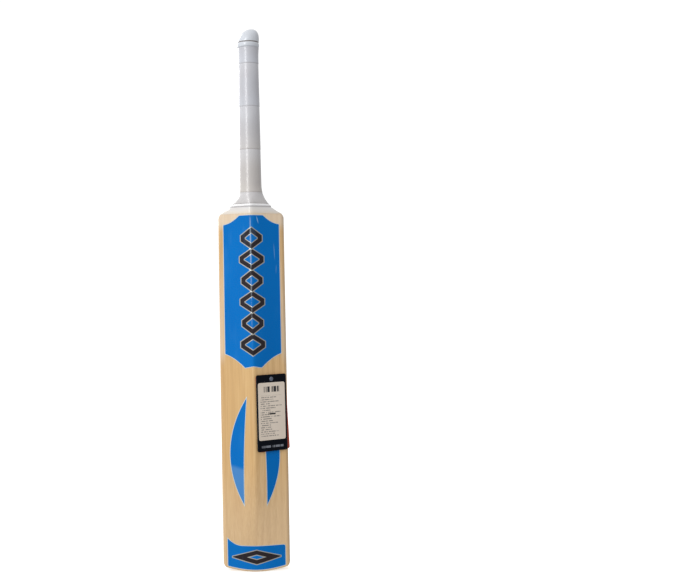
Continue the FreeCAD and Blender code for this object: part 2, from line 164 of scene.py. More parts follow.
def meet(a, b, radius):
    """Two faces met in a round edge: the larger of two distances, and a quarter circle where
    both are within radius of the corner."""
    return (np.minimum(np.maximum(a, b) + radius, 0)
            + np.hypot(np.maximum(a + radius, 0), np.maximum(b + radius, 0)) - radius)


def shoulder(rho, z):
    """Distance past the turned shoulders at rho from the handle's axis: a cone, then a hollow
    arc up into the neck, then the handle's slow taper."""
    cone = (rho - neck_end_x) * np.sin(shoulder_slope) + (z - slope_end) * np.cos(shoulder_slope)
    arc = neck_radius - np.hypot(rho - wood_neck_half - neck_radius, z - neck_top)
    neck = rho - wood_neck_half - handle_taper * (z - neck_top)
    return np.where(z < slope_end, cone, np.where(z < neck_top, arc, neck))


def past_wood(x, y, z):
    """Signed distance past the wood: sides and shoulders met in the shoulder's corner, then met
    with the face or the back in a softened edge."""
    outline = meet(np.abs(x) - half_width(z), shoulder(np.hypot(x, y - handle_y), z),
                   shoulder_corner_radius)
    return meet(outline, np.maximum(y - face(z), back(x, z) - y), wood_edge_radius)


def spread(count, pull):
    """count shares from 0 to just under 1, drawn towards both ends by pull."""
    t = np.arange(count) / count
    return t - pull * np.sin(2 * np.pi * t) / (2 * np.pi)


def ring_directions(z):
    """Unit vectors round the handle's axis, one row for each height, aimed at points spread
    along a kite through the ridge, the edges and the face."""
    w = np.minimum(half_width(z), 0.9 * np.where(z < slope_end, neck_end_x + (slope_end - z)
                   / np.tan(shoulder_slope), neck_end_x))
    ridge = back(0 * z, z) - handle_y
    edge = np.minimum(back(w * (1 - edge_rounding_width), z) - handle_y, -1.0)
    front = face(z) - handle_y
    corners = [(0 * z, ridge), (w, edge), (w, front), (-w, front), (-w, edge), (0 * z, ridge)]
    counts = (46, 14, 72, 14, 46)
    legs = []
    for (x0, y0), (x1, y1), count in zip(corners, corners[1:], counts):
        t = spread(count, 0.75)
        legs.append(np.stack([x0[:, None] + (x1 - x0)[:, None] * t,
                              y0[:, None] + (y1 - y0)[:, None] * t], axis=-1))
    points = np.concatenate(legs, axis=1)
    return points / np.linalg.norm(points, axis=-1, keepdims=True)


def reach(directions, z, grow):
    """How far each level ray from the handle's axis runs until it stands grow past the wood,
    found by halving."""
    low = np.zeros(z.shape)
    high = np.full(z.shape, 2.5 * toe_half)
    for _ in range(26):
        middle = (low + high) / 2
        inside = past_wood(middle * directions[..., 0],
                           handle_y + middle * directions[..., 1], z) < grow
        low = np.where(inside, middle, low)
        high = np.where(inside, high, middle)
    return low


def rings(directions, rho, z):
    """Points at rho along the directions, as a grid of (x, y, z)."""
    return np.stack([rho * directions[..., 0], handle_y + rho * directions[..., 1], z], axis=-1)


def make_piece(name, points, faces, body="root", sharp=40.0, marks=None):
    """A piece from points and faces, riding on a body. Edges turned by more than sharp degrees
    stay crisp. marks gives each point a vector that the finish reads as the attribute print."""
    mesh = bpy.data.meshes.new(name)
    mesh.from_pydata((points.reshape(-1, 3) * MM).tolist(), [], faces)
    if marks is not None:
        layer = mesh.attributes.new("print", "FLOAT_VECTOR", "POINT")
        layer.data.foreach_set("vector", marks.reshape(-1).astype(np.float32))
    mesh.shade_smooth()
    mesh.set_sharp_from_angle(angle=np.radians(sharp))
    piece = bpy.data.objects.new(name, mesh)
    bpy.context.scene.collection.objects.link(piece)
    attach(piece, body)
    return piece


def grid_piece(name, points, body="root", closed=False, sharp=40.0, marks=None):
    """A piece from a grid of points: quads between neighbouring rows and columns. Columns go
    round and rows go up, with flat ends, or closed rows join into a sleeve or a thin skin."""
    rows, columns = points.shape[:2]
    index = np.arange(rows * columns).reshape(rows, columns)
    low = index if closed else index[:-1]
    high = np.roll(index, -1, axis=0) if closed else index[1:]
    quads = np.stack([low, np.roll(low, -1, axis=1), np.roll(high, -1, axis=1), high], axis=-1)
    faces = quads.reshape(-1, 4).tolist()
    if not closed:
        faces += [index[0, ::-1].tolist(), index[-1].tolist()]
    return make_piece(name, points, faces, body, sharp, marks)


def toe_line(x):
    """How high the toe's edge is at x: the toe's arc, then its corner's arc."""
    centre_x = toe_half - toe_corner_radius
    centre_z = toe_radius - np.sqrt((toe_radius - toe_corner_radius) ** 2 - centre_x ** 2)
    tangent = toe_radius * centre_x / (toe_radius - toe_corner_radius)
    across = np.clip(np.abs(x) - centre_x, 0, toe_corner_radius)
    corner = centre_z - np.sqrt(toe_corner_radius ** 2 - across ** 2)
    return np.where(np.abs(x) < tangent, toe_radius - np.sqrt(toe_radius ** 2 - x ** 2), corner)


def blade_points():
    """Rows from the middle of the toe out to its edge, round that edge, and up to the neck.
    Low rows follow the toe's line, and flatten out within toe_fade."""
    toe_fade = 60.0
    turn = np.linspace(np.pi / 2, 0, 8)
    levels = np.concatenate([
        wood_edge_radius * (1 - np.sin(turn)),
        np.linspace(wood_edge_radius, 50, 34)[1:],
        np.linspace(50, 548, 126)[1:],
        np.linspace(548, 582, 70)[1:],
        np.linspace(582, neck_top, 12)[1:],
    ])
    inset = np.zeros(len(levels))
    inset[:len(turn)] = wood_edge_radius * (1 - np.cos(turn))
    aim = ring_directions(levels)
    fade = np.clip(1 - levels / toe_fade, 0, 1)[:, None] ** 2
    z = np.repeat(levels[:, None], aim.shape[1], axis=1)
    grow = -np.repeat(inset[:, None], aim.shape[1], axis=1)
    for _ in range(2):
        rho = reach(aim, z, grow)
        z = levels[:, None] + toe_line(rho * aim[..., 0]) * fade
    outside = rings(aim, rho, z)
    shares = np.sin(np.linspace(0.01, 0.995, 22) * np.pi / 2)[:, None]
    sole_rho = rho[:1] * shares
    sole_aim = np.repeat(aim[:1], len(shares), axis=0)
    sole = rings(sole_aim, sole_rho, toe_line(sole_rho * sole_aim[..., 0]))
    return np.concatenate([sole, outside])


def cut_splice(piece):
    """Takes the V for the splice out of the blade: a cutter that runs through it from face to
    back, and widens from the V's point up to the neck and goes straight up past it."""
    top = neck_top + neck_radius
    past_wood_y = 80.0
    wedge = [(0, splice_point), (splice_half, neck_top), (splice_half, top), (-splice_half, top),
             (-splice_half, neck_top)]
    corners = [(x * MM, y * MM, z * MM) for y in (-past_wood_y, past_wood_y) for x, z in wedge]
    count = len(wedge)
    sides = [(i, (i + 1) % count, (i + 1) % count + count, i + count) for i in range(count)]
    ends = [tuple(range(count))[::-1], tuple(range(count, 2 * count))]
    mesh = bpy.data.meshes.new("wedge")
    mesh.from_pydata(corners, [], sides + ends)
    mesh.flip_normals()
    cutter = bpy.data.objects.new("wedge", mesh)
    bpy.context.scene.collection.objects.link(cutter)
    saw = piece.modifiers.new("saw", "BOOLEAN")
    saw.operation = "DIFFERENCE"
    saw.solver = "EXACT"
    saw.object = cutter
    bpy.context.view_layer.update()
    cut = piece.evaluated_get(bpy.context.evaluated_depsgraph_get())
    piece.data = bpy.data.meshes.new_from_object(cut)
    piece.modifiers.clear()
    bpy.data.objects.remove(cutter)
    piece.data.set_sharp_from_angle(angle=np.radians(40))


class Signal:
    """A socket in a finish's node tree. + - * / on it, with numbers on either side, add Math
    nodes, and node() adds any other node."""

    def __init__(self, tree, socket=None):
        self.tree = tree
        self.socket = socket

    def node(self, kind, settings=(), sockets=(), out=0):
        """Adds a node of that kind: its settings first, then numbers or signals for sockets."""
        made = self.tree.nodes.new("ShaderNode" + kind)
        for name, value in dict(settings).items():
            setattr(made, name, value)
        for name, value in dict(sockets).items():
            if isinstance(value, Signal):
                self.tree.links.new(value.socket, made.inputs[name])
            else:
                made.inputs[name].default_value = value
        return Signal(self.tree, made.outputs[out] if made.outputs else None)

    def math(self, operation, *values):
        """Adds a Math node on numbers or signals."""
        return self.node("Math", {"operation": operation}, enumerate(values))

    def __add__(self, other):
        return self.math("ADD", self, other)

    def __sub__(self, other):
        return self.math("SUBTRACT", self, other)

    def __rsub__(self, other):
        return self.math("SUBTRACT", other, self)

    def __mul__(self, other):
        return self.math("MULTIPLY", self, other)

    def __truediv__(self, other):
        return self.math("DIVIDE", self, other)

    __radd__ = __add__
    __rmul__ = __mul__


def colour(red, green, blue):
    """A screen colour, 0 to 255, as the linear light that a shader takes."""
    c = np.array([red, green, blue]) / 255
    linear = np.where(c < 0.04045, c / 12.92, ((c + 0.055) / 1.055) ** 2.4)
    return (*linear.tolist(), 1.0)


def blend(share, a, b):
    """Colour a where share is 0 and b where it is 1."""
    return share.node("Mix", {"data_type": "RGBA"}, {0: share, 6: a, 7: b}, out=2)


def step(value, low, high):
    """0 below low, 1 above high, and a smooth climb between them; swapped ends fall instead."""
    return value.node("MapRange", {"interpolation_type": "SMOOTHSTEP"},
                      {"Value": value, "From Min": low, "From Max": high})


def window(value, low, high, soft):
    """1 between low and high and 0 outside, with a climb and a fall inside them, soft wide."""
    return step(value, low, low + soft) * step(value, high, high - soft)


def xyz(vector):
    """The three numbers of a vector, each a signal."""
    return [vector.node("SeparateXYZ", (), {"Vector": vector}, out=k) for k in range(3)]


def millimetres(place):
    """The three numbers of a place on the bat, in millimetres."""
    return [part * (1 / MM) for part in xyz(place)]


def grain(place, scales, detail=3.0, rough=0.5):
    """Noise from 0 to 1, stretched by its own scale along x, y and z, per metre."""
    stretched = place.node("VectorMath", {"operation": "MULTIPLY"}, {0: place, 1: scales})
    return place.node("TexNoise", (), {"Vector": stretched, "Scale": 1.0, "Detail": detail,
                                       "Roughness": rough})


def bump(height, strength, distance):
    """A bump whose height is in millimetres times distance."""
    return height.node("Bump", (), {"Height": height, "Strength": strength,
                                    "Distance": distance * MM})


def start_finish(name):
    """A new finish, and the place on the bat from which its expressions start."""
    material = bpy.data.materials.new(name)
    material.use_nodes = True
    material.node_tree.nodes.clear()
    return material, Signal(material.node_tree).node("TexCoord", out="Object")


def end_finish(place, **sockets):
    """Gives the sockets, their names' spaces written as _, to one Principled shader."""
    named = {name.replace("_", " "): value for name, value in sockets.items()}
    shader = place.node("BsdfPrincipled", (), named)
    place.node("OutputMaterial", (), {"Surface": shader})


def paint(piece, material):
    """Gives a piece this one material, in place of what it has."""
    piece.data.materials.clear()
    piece.data.materials.append(material)


def spot(x, z, at_x, at_z, wide, tall):
    """1 in the middle of a small upright oval, falling to 0 at its rim."""
    across = (x - at_x) / wide
    up = (z - at_z) / tall
    return step(across * across + up * up, 1.0, 0.0)


def willow_finish():
    """Bleached and oiled willow under a thin clear film: growth lines 11 mm apart, wandering
    with a slow noise, and fine fibre along the blade. The back is painted paler to the right of
    its ridge as painted light on that flank, and has painted glare beside its big sticker, at the
    shoulders and near the toe. The face is warmer, in broad bands, with a few pin knots and
    three brown lines over its toe."""
    material, place = start_finish("willow_wood")
    x, y, z = millimetres(place)
    wander = grain(place, (5.0, 5.0, 2.6), 2.0)
    ring_pitch = 11.0
    across = (x + y * 0.35 + wander * 26.0) / ring_pitch
    ring = across.math("FRACT", across)
    late = step(ring, 0.25, 0.93) * step(ring, 1.0, 0.93)
    fibre = grain(place, (650.0, 650.0, 11.0), 4.0, 0.6)
    streak = grain(place, (150.0, 150.0, 3.2), 3.0, 0.55)
    cloud = grain(place, (16.0, 16.0, 4.5), 2.0)
    on_face = step(y, 18.0, 26.0)
    pale = blend(cloud, colour(218, 180, 122), colour(206, 162, 101))
    honey = blend(cloud, colour(226, 178, 84), colour(212, 156, 66))
    broad = grain(place, (42.0, 42.0, 1.4), 1.0)
    honey = blend(step(broad, 0.48, 0.66) * 0.5, honey, colour(218, 152, 80))
    honey = blend(step(x, 30.0, 52.0) * 0.35, honey, colour(224, 154, 90))
    honey = blend(step(z, 130.0, 40.0) * 0.45, honey, colour(204, 164, 106))
    wood = blend(on_face, pale, honey)
    # Painted light: the back's flank to the right of the ridge is painted paler.
    wood = blend(step(x, -8.0, 14.0) * (1 - on_face) * 0.55, wood, colour(238, 200, 148))
    wood = blend(late * 0.16, wood, colour(180, 132, 76))
    wood = blend(step(streak, 0.46, 0.78) * 0.40, wood, colour(194, 150, 94))
    wood = blend(step(fibre, 0.45, 0.75) * 0.26, wood, colour(170, 128, 80))
    wood = blend(step(fibre, 0.50, 0.25) * 0.22, wood, colour(240, 212, 166))
    knots = [(-2.4, 295), (-20.8, 285), (10.9, 276), (-21.3, 251), (-24.5, 226), (-7.5, 155),
             (-10.6, 135), (35.4, 133)]
    flecks = 0.0
    for at_x, at_z in knots:
        core = spot(x, z, at_x, at_z, 2.0, 2.8)
        tail = spot(x, z, at_x, at_z, 3.2, 11.0)
        flecks = core * 0.6 + tail * 0.18 + flecks
    wood = blend(flecks * on_face, wood, colour(128, 84, 40))
    toe_lines = [(16.0, 0.22, 0.30), (25.0, 0.17, 0.42), (40.0, 0.30, 0.25)]
    for level, slant, strength in toe_lines:
        band = z - level - x * slant + x * x * 0.002 - wander * 5.0
        stain = step(band, -4.6, -0.6) * step(band, 2.2, -0.6)
        wood = blend(stain * on_face * strength, wood, colour(150, 104, 54))
    beside = step(x.math("ABSOLUTE", x), 41.0, 50.0) * step(z, 322.0, 350.0) * step(y, 11.0, 1.0)
    shoulders = step(z + wander * 4.0, 538.0, 556.0)
    glare = beside * 0.34 + shoulders * 0.46 + step(z, 200.0, 60.0) * 0.14
    wood = blend(glare * (1 - on_face * 0.5), wood, colour(240, 232, 220))
    rough = 0.42 + step(streak, 0.3, 0.7) * 0.12
    relief = fibre * 0.05 + late * 0.03
    end_finish(place, Base_Color=wood, Roughness=rough, Normal=bump(relief, 0.6, 1.0),
               Coat_Weight=0.22, Coat_Roughness=0.16)
    return material


blade = grid_piece("willow_blade", blade_points())
cut_splice(blade)
paint(blade, willow_finish())
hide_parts("blade")


# ---- handle core ----
# Twelve strips of split cane glued up four deep and three across, with a sheet of rubber
# between the rows to take the shock. Its foot is the wedge that fills the blade's V.
def cane_finish():
    """Straw-coloured cane: dense fine fibres along the strip, with darker vessels, paler where
    the tape's glue has spread over the splice."""
    material, place = start_finish("split_cane")
    z = millimetres(place)[2]
    fibre = grain(place, (900.0, 900.0, 9.0), 3.0)
    vessel = grain(place, (300.0, 300.0, 5.0), 2.0)
    cane = blend(fibre, colour(214, 184, 130), colour(178, 140, 84))
    cane = blend(step(vessel, 0.55, 0.7) * 0.5, cane, colour(138, 100, 58))
    cane = blend(step(z, 536.0, 554.0) * 0.6, cane, colour(240, 230, 216))
    end_finish(place, Base_Color=cane, Roughness=0.5 + fibre * 0.2,
               Normal=bump(fibre, 0.4, 0.1))
    return material


def spring_finish():
    """Black sheet rubber with a fine, slightly chalky grain."""
    material, place = start_finish("spring_rubber")
    speck = grain(place, (1400.0, 1400.0, 1400.0), 2.0)
    rubber = blend(step(speck, 0.4, 0.8), colour(34, 32, 31), colour(58, 55, 52))
    end_finish(place, Base_Color=rubber, Roughness=0.7 + speck * 0.15,
               Normal=bump(speck, 0.3, 0.1))
    return material


cane = cane_finish()
spring = spring_finish()
for name, node in frame["nodes"].items():
    if name.startswith("cane_strip"):
        paint(node, cane)
    if name.startswith("rubber_spring"):
        paint(node, spring)


# ---- twine ----
# Waxed linen twine wound tight round the cane from the neck to the cap, turn against turn,
# under the grip.
def twine_finish():
    """Turns of twine a little under a millimetre apart, each painted lighter at its crown and
    darker where it meets the next, as painted light and shade.
    """
    material, place = start_finish("waxed_twine")
    z = millimetres(place)[2]
    twine_pitch = 0.9
    turn = z.math("FRACT", z / twine_pitch)
    crown = turn * (1 - turn) * 4
    fuzz = grain(place, (900.0, 900.0, 2400.0), 2.0)
    # Painted light and shade: light on each turn's crown, shade in the groove between turns.
    thread = blend(crown, colour(150, 132, 98), colour(222, 208, 176))
    thread = blend(fuzz * 0.3, thread, colour(196, 172, 128))
    end_finish(place, Base_Color=thread, Roughness=0.62 + fuzz * 0.2,
               Normal=bump(crown, 0.8, 0.25))
    return material


paint(frame["nodes"]["twine_binding"], twine_finish())


# ---- shoulder tape ----
# A turn of thin pale tape pulled down over the shoulders under the foot of the grip, with the
# small creases that it takes where it goes over a curved shape.
tape_outside = 0.42
tape_wall = 0.36
mean_reach = 40.0


def sleeve_points(z, grow, wall):
    """A sleeve's section: up its outside, grow past the wood, and down its inside, wall less."""
    aim = ring_directions(z)
    tall = np.repeat(z[:, None], aim.shape[1], axis=1)
    outer = reach(aim, tall, np.repeat(grow[:, None], aim.shape[1], axis=1))
    inner = reach(aim, tall, np.repeat((grow - wall)[:, None], aim.shape[1], axis=1))
    return rings(aim, outer, tall), rings(aim, inner, tall)[::-1]


def tape_points():
    """The tape as a thin sleeve; the sum of two slanted sine waves, each under a tenth of a
    millimetre, makes its creases."""
    low, high = z_span("shoulder_tape")
    z = np.linspace(low, high, 24)
    outer, inner = sleeve_points(z, np.full(len(z), tape_outside), tape_wall)
    angle = np.arctan2(outer[..., 1] - handle_y, outer[..., 0])
    crease = (0.07 * np.sin(9 * angle + outer[..., 2])
              + 0.05 * np.sin(17 * angle - 1.7 * outer[..., 2]))
    outer[..., 0] *= 1 + crease / mean_reach
    outer[..., 2] += crease
    return np.concatenate([outer, inner])


def tape_finish():
    """Milky plastic tape: white where it is thick, letting the wood through at its low edge, with
    a painted shadow along its top.
    """
    material, place = start_finish("shoulder_tape_film")
    z = millimetres(place)[2]
    low, high = z_span("shoulder_tape")
    cloud = grain(place, (60.0, 60.0, 180.0), 3.0)
    film = blend(cloud, colour(232, 231, 230), colour(220, 214, 208))
    show = step(z + cloud * 9.0, low + 11.5, low + 1.5)
    film = blend(show * 0.62, film, colour(230, 206, 168))
    # Painted shadow: a grey band along the tape's top, under the grip's foot ring.
    film = blend(step(z, high - 2.2, high - 0.4) * 0.45, film, colour(176, 176, 184))
    end_finish(place, Base_Color=film, Roughness=0.24 + cloud * 0.12,
               Normal=bump(cloud, 0.5, 0.5), Coat_Weight=0.3, Coat_Roughness=0.1)
    return material


tape = grid_piece("tape_band", tape_points(), closed=True)
paint(tape, tape_finish())
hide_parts("shoulder_tape")


# ---- grip foot ring ----
# The grip's lower end is rolled up on itself into a bright bead that sits on the shoulders.
def foot_ring_points():
    """A bead that follows the shoulders: half an ellipse standing off the tape."""
    low, high = z_span("grip_bottom_ring")
    turn = np.linspace(-np.pi / 2, np.pi / 2, 15)
    z = (low + high) / 2 + (high - low) / 2 * np.sin(turn)
    outer, inner = sleeve_points(z, 0.6 + 1.15 * np.cos(turn), 0.3 + 1.0 * np.cos(turn))
    return np.concatenate([outer, inner])


def ring_finish():
    """Glossy white rubber, a little dusty, with painted shade along its lower edge where it meets
    the tape.
    """
    material, place = start_finish("rolled_ring_rubber")
    dust = grain(place, (220.0, 220.0, 500.0), 3.0)
    z = millimetres(place)[2]
    low = z_span("grip_bottom_ring")[0]
    # Painted shade: greyer along the bead's lower edge, where it tucks against the tape.
    crease = step(z, low + 1.3, low + 0.2)
    rubber = blend(step(dust, 0.45, 0.75) * 0.5, colour(246, 245, 246), colour(224, 222, 222))
    rubber = blend(crease * 0.6, rubber, colour(150, 148, 150))
    end_finish(place, Base_Color=rubber, Roughness=0.26 + dust * 0.15,
               Normal=bump(dust, 0.3, 0.3), Coat_Weight=0.3, Coat_Roughness=0.12)
    return material


foot_ring = grid_piece("foot_ring", foot_ring_points(), closed=True)
paint(foot_ring, ring_finish())
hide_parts("grip_bottom_ring")


# ---- grip ----
# A moulded rubber sleeve rolled on over the twine. Fine ribs run round it, and it is banded:
# every band swells slightly towards its lower end, where a seam is pressed in.
rib_pitch = 1.6
band_pitch = 68.0
band_start = 600.0


def grip_points():
    """The sleeve's outside is the wood's or the twine's shape grown by its wall, with a cosine
    for the ribs, a parabola down each band, a narrow bell pressed in at each seam, and a power
    of the height for the swell of a millimetre below the top ring."""
    low, high = grip_low[2], grip_high[2]
    rows_a_rib = 4.5
    z = np.linspace(low, high, round((high - low) / rib_pitch * rows_a_rib))
    into = np.mod(z - band_start, band_pitch)
    from_seam = np.minimum(into, band_pitch - into)
    swell = 0.32 * (1 - into / band_pitch) ** 2
    seam = -0.26 * np.exp(-(from_seam / 0.9) ** 2)
    ribs = 0.10 * np.cos(2 * np.pi * z / rib_pitch)
    rise = np.clip((z - flare_bottom) / flare_height, 0, 1)
    flare = rise ** 1.6
    aim = ring_directions(z)[:, ::2]
    tall = np.repeat(z[:, None], aim.shape[1], axis=1)
    smooth = reach(aim, tall, np.full(tall.shape, grip_wall - 0.1))
    outer = rings(aim, smooth + (swell + seam + ribs + flare)[:, None], tall)
    coarse = slice(None, None, 12)
    inner = rings(aim[coarse], (smooth - grip_wall * 0.75)[coarse], tall[coarse])[::-1]
    return np.concatenate([outer, inner])


def grip_finish():
    """Satin white rubber under a clear wrap: cool above, a little beige below, greyer where
    hands have been, and with painted light and shade on each band: darker over its middle,
    lighter towards its top, and darkest just above the seam at its foot."""
    material, place = start_finish("grip_rubber_ribbed")
    z = millimetres(place)[2]
    along = (z - band_start) / band_pitch
    into = along.math("FRACT", along)
    cloud = grain(place, (26.0, 26.0, 20.0), 3.0)
    speck = grain(place, (500.0, 500.0, 900.0), 2.0)
    rubber = blend(step(z, 620.0, 760.0), colour(196, 190, 184), colour(196, 199, 208))
    # Painted light and shade on each band: darker over its middle, lighter towards its top,
    # darkest at the seam.
    rubber = blend(step(into, 0.0, 0.45) * 0.35, rubber, colour(176, 173, 176))
    rubber = blend(step(into, 0.5, 1.0) * 0.45, rubber, colour(216, 217, 222))
    rubber = blend(step(into, 0.035, 0.0) * 0.38, rubber, colour(142, 132, 126))
    rubber = blend(step(cloud, 0.45, 0.75) * 0.35, rubber, colour(172, 166, 170))
    rubber = blend(step(speck, 0.55, 0.75) * 0.2, rubber, colour(150, 146, 146))
    end_finish(place, Base_Color=rubber, Roughness=0.30 + cloud * 0.14,
               Normal=bump(speck * 0.4 + cloud, 0.3, 0.35), Coat_Weight=1.0,
               Coat_Roughness=0.30, Coat_IOR=1.8)
    return material


grip = grid_piece("grip_sleeve", grip_points(), closed=True, sharp=70.0)
paint(grip, grip_finish())
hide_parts("handle_grip")


# ---- grip top ring and end cap ----
# The sleeve's top end is rolled into a bead, and a soft domed cap is pressed down against it
# over the end of the cane.
bead_radius = 16.2
bead_half = 1.9
bead_shift = 0.4
cap_radius = 17.2
cap_rim = 0.6
cap_lean = 5.4
cap_seam = z_span("handle_end_cap")[0]


def turned_points(radii, heights, columns=96):
    """A shape turned about the handle's axis: one circle for each radius and height."""
    angle = np.linspace(0, 2 * np.pi, columns, endpoint=False) - np.pi / 2
    aim = np.stack([np.cos(angle), np.sin(angle)], axis=-1)[None].repeat(len(radii), axis=0)
    tall = np.repeat(heights[:, None], columns, axis=1)
    return rings(aim, np.repeat(radii[:, None], columns, axis=1), tall)


def top_ring_points():
    """The bead: a fat oval section turned about the handle, and moved a little to the left."""
    low, high = z_span("grip_top_ring")
    turn = np.linspace(-np.pi, np.pi, 40, endpoint=False)
    squeeze = np.sign(np.cos(turn)) * np.abs(np.cos(turn)) ** 0.7
    radii = bead_radius + bead_half * squeeze
    heights = (low + high) / 2 + (high - low) / 2 * np.sin(turn)
    points = turned_points(radii, heights)
    points[..., 0] -= bead_shift
    return points


def cap_points():
    """The dome: a rounded rim, then an oval a little fuller than a circle, leaning to one side
    by cap_lean at its top, with its underside closed level."""
    low, high = z_span("handle_end_cap")
    turn = np.linspace(0, 1, 44) ** 1.15 * np.pi / 2
    radii = cap_radius * np.cos(turn) ** 0.86
    heights = low + cap_rim + (high - low - cap_rim) * np.sin(turn) ** 1.06
    underside_radii = np.array([4.0, 10.0, 15.6, 16.4, 16.9])
    underside_heights = low + np.array([0.05, 0.05, 0.05, 0.12, 0.3])
    radii = np.concatenate([underside_radii, radii])
    heights = np.concatenate([underside_heights, heights])
    points = turned_points(np.maximum(radii, 0.4), heights)
    points[..., 0] += cap_lean * np.clip((heights[:, None] - low) / (high - low), 0, 1) ** 1.2
    return points


def cap_finish(name):
    """Milky white rubber with a faint cool cast, darker and browner in a narrow band at the seam.
    """
    material, place = start_finish(name)
    z = millimetres(place)[2]
    cloud = grain(place, (70.0, 70.0, 70.0), 3.0)
    speck = grain(place, (600.0, 600.0, 600.0), 2.0)
    rubber = blend(cloud, colour(214, 220, 228), colour(196, 199, 206))
    # Darker and browner in a narrow band about the seam between cap and ring.
    rubber = blend(step(z.math("ABSOLUTE", z - cap_seam), 1.5, 0.2) * 0.75, rubber,
                   colour(118, 100, 84))
    end_finish(place, Base_Color=rubber, Roughness=0.34 + cloud * 0.12,
               Normal=bump(speck * 0.5 + cloud, 0.3, 0.4), Coat_Weight=0.8,
               Coat_Roughness=0.28, Coat_IOR=1.7)
    return material


top_ring = grid_piece("rolled_top_ring", top_ring_points(), closed=True)
paint(top_ring, cap_finish("top_ring_rubber"))
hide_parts("grip_top_ring")
cap = grid_piece("domed_cap", cap_points())
paint(cap, cap_finish("end_cap_rubber"))
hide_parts("handle_end_cap")


# ---- stickers on the back ----
# Printed vinyl, a quarter of a millimetre thick, under the clear wrap: blue with a thin pale
# edge. The big one carries a column of plain hollow lozenges, and the toe's one carries one more.
sticker_lift = 0.30
sticker_under = 0.05
shoulder_x = 19.0
shoulder_drop = 14.0
shoulder_scoop = 3.0
tip_x = 13.4
notch_rise = 2.6
foot_rise = 21.5
foot_sweep = 2.9
leaf_foot_x = 17.2
leaf_top_x = 10.8
leaf_inner_x = 16.4
leaf_outer_x = 39.6
toe_print_top = 42.0
toe_print_sweep = 23.0
toe_print_bow = 3.0
toe_print_margin = 2.4
toe_print_corner = 3.5


def ends_of(x, *points):
    """Heights along a run of arcs and straight lines: between each (x, z, sagitta) and the next
    one, a chord with a parabola of that sagitta on it."""
    z = np.full(x.shape, points[0][1], float)
    for (x0, z0, bow), (x1, z1, _) in zip(points, points[1:]):
        t = (x - x0) / (x1 - x0)
        z = np.where((x >= x0) & (x <= x1), z0 + (z1 - z0) * t + 4 * bow * t * (1 - t), z)
    return z


def inset_from(points, rim):
    """How far each point of a grid lies from the nearest point of a rim, in x and z."""
    flat = points.reshape(-1, 1, 2)
    gaps = [np.hypot(*(flat - part[None]).transpose(2, 0, 1)).min(axis=1)
            for part in np.array_split(rim, 8)]
    return np.min(gaps, axis=0).reshape(points.shape[:2])


def rim_of(x, z):
    """The rim of a grid, four times as dense as the grid."""
    sides = [np.stack(pair, axis=-1) for pair in ((x[0], z[0]), (x[:, -1], z[:, -1]),
                                                   (x[-1, ::-1], z[-1, ::-1]),
                                                   (x[::-1, 0], z[::-1, 0]))]
    loop = np.concatenate(sides)
    places = np.arange(0, len(loop) - 1, 0.25)
    return np.stack([np.interp(places, np.arange(len(loop)), loop[:, k]) for k in (0, 1)], -1)


def skin_piece(name, x, z, surface, outward=-1, lift=sticker_lift, under=sticker_under):
    """A thin closed skin over a surface: a grid at lift above it and the same grid at under,
    joined round the rim. Its print marks are x, z and the distance in from the rim."""
    inset = inset_from(np.stack([x, z], -1), rim_of(x, z))
    base = surface(x, z)
    top = np.stack([x, base + outward * lift, z], -1)
    low = np.stack([x, base + outward * under, z], -1)
    marks = np.stack([x, z, inset], -1)
    rows, columns = x.shape
    index = np.arange(rows * columns).reshape(rows, columns)
    quads = np.stack([index[:-1, :-1], index[:-1, 1:], index[1:, 1:], index[1:, :-1]], -1)
    quads = quads.reshape(-1, 4)
    loop = np.concatenate([index[0, :-1], index[:-1, -1], index[-1, :0:-1], index[:0:-1, 0]])
    other = np.roll(loop, -1)
    count = rows * columns
    rim = np.stack([loop, loop + count, other + count, other], -1)
    faces = np.concatenate([quads, quads[:, ::-1] + count, rim])
    if outward > 0:
        faces = faces[:, ::-1]
    return make_piece(name, np.concatenate([top, low]), faces.tolist(),
                      marks=np.concatenate([marks, marks]))


def between(low_line, high_line, columns, rows):
    """A grid over what lies between two lines that run across x."""
    t = np.linspace(0, 1, rows)[:, None]
    low = low_line(columns)
    high = high_line(columns)
    return np.repeat(columns[None], rows, axis=0), low + (high - low) * t


def symmetric(*marks_and_counts):
    """Columns from -x to x with a column at each mark."""
    half = np.concatenate([np.linspace(a, b, n, endpoint=False)
                           for (a, n), (b, _) in zip(marks_and_counts, marks_and_counts[1:])])
    half = np.append(half, marks_and_counts[-1][0])
    return np.concatenate([-half[:0:-1], half])


def back_sticker_grid():
    """Square shoulders scooped at the top, and below two points with a shallow notch."""
    low, high = span("back_sticker")
    half, top, tip = high[0], high[2], low[2]
    columns = symmetric((0.0, 10), (tip_x, 4), (shoulder_x, 14), (half, 0))

    def lower(x):
        """A shallow notch between the two points, and a hollow sweep up to each side."""
        return ends_of(np.abs(x), (0, tip + notch_rise, 0), (tip_x, tip, foot_sweep),
                       (half, tip + foot_rise, 0))

    def upper(x):
        """Level in the middle, and scooped down to each side."""
        return ends_of(np.abs(x), (0, top, 0), (shoulder_x, top, -shoulder_scoop),
                       (half, top - shoulder_drop, 0))

    return between(lower, upper, columns, 150)


def crescent_grid(side):
    """A pointed leaf: on one chord from foot to top, a parabola out to leaf_outer_x for its
    outer edge, and a flatter one to leaf_inner_x for its inner edge."""
    low, high = span("crescent_sticker_left" if side < 0 else "crescent_sticker_right")
    columns = 16
    t = (1 - np.cos(np.linspace(0.03, 0.985, 90) * np.pi)) / 2
    z = low[2] + (high[2] - low[2]) * t
    chord = leaf_foot_x + (leaf_top_x - leaf_foot_x) * t
    middle = (leaf_foot_x + leaf_top_x) / 2
    inner = chord + 4 * (leaf_inner_x - middle) * t * (1 - t)
    outer = chord + 4 * (leaf_outer_x - middle) * t * (1 - t)
    left, right = (inner, outer) if side > 0 else (outer, inner)
    x = side * (left[:, None] + (right - left)[:, None] * np.linspace(0, 1, columns))
    return x, np.repeat(z[:, None], columns, axis=1)


